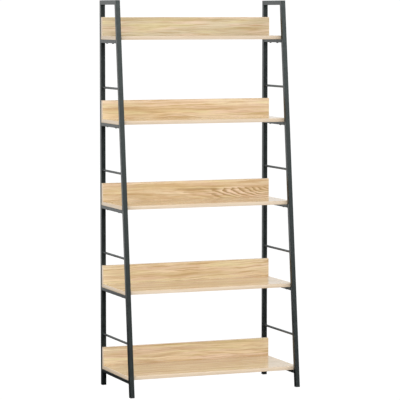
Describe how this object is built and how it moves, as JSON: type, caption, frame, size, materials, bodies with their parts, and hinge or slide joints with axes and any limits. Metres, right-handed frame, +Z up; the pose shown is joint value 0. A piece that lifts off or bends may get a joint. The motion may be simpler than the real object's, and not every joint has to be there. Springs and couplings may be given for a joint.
{
  "type": "ladder shelf",
  "caption": "Free-standing ladder shelf: light oak boards with low back panels on two black steel side frames with leaning front legs and thin side rungs.",
  "frame": {"origin": "middle of the footprint, on the floor", "axes": "+X across the width, the open front faces -Y and the rear posts stand at +Y, +Z up"},
  "size_m": [0.8, 0.3933, 1.71],
  "materials": {
    "frame_steel": "charcoal black powder coat, fine satin texture, on welded square tube",
    "oak_board": "light oak melamine on chipboard, grain along the width, matching edge band",
    "foot_plastic": "moulded black plastic with a fine grain",
    "black_bolt": "black oxide bolt head, satin",
    "zinc_steel": "zinc-plated steel"
  },
  "bodies": {
    "root": {"left_rear_post": "frame_steel", "left_front_post": "frame_steel", "left_top_bar": "frame_steel", "right_rear_post": "frame_steel", "right_front_post": "frame_steel", "right_top_bar": "frame_steel", "left_rail_1": "frame_steel", "left_rail_2": "frame_steel", "left_rail_3": "frame_steel", "left_rail_4": "frame_steel", "left_rail_5": "frame_steel", "right_rail_1": "frame_steel", "right_rail_2": "frame_steel", "right_rail_3": "frame_steel", "right_rail_4": "frame_steel", "right_rail_5": "frame_steel", "left_rung_1": "frame_steel", "left_rung_2": "frame_steel", "left_rung_3": "frame_steel", "left_rung_4": "frame_steel", "right_rung_1": "frame_steel", "right_rung_2": "frame_steel", "right_rung_3": "frame_steel", "right_rung_4": "frame_steel", "shelf_board_1": "oak_board", "shelf_board_2": "oak_board", "shelf_board_3": "oak_board", "shelf_board_4": "oak_board", "shelf_board_5": "oak_board", "back_panel_1": "oak_board", "back_panel_2": "oak_board", "back_panel_3": "oak_board", "back_panel_4": "oak_board", "back_panel_5": "oak_board", "left_rear_foot_cap": "foot_plastic", "left_front_foot_cap": "foot_plastic", "right_rear_foot_cap": "foot_plastic", "right_front_foot_cap": "foot_plastic", "board_bolts": "black_bolt", "panel_bolts": "black_bolt", "board_inserts": "zinc_steel", "panel_inserts": "zinc_steel", "panel_screws": "zinc_steel"}
  },
  "joints": []
}
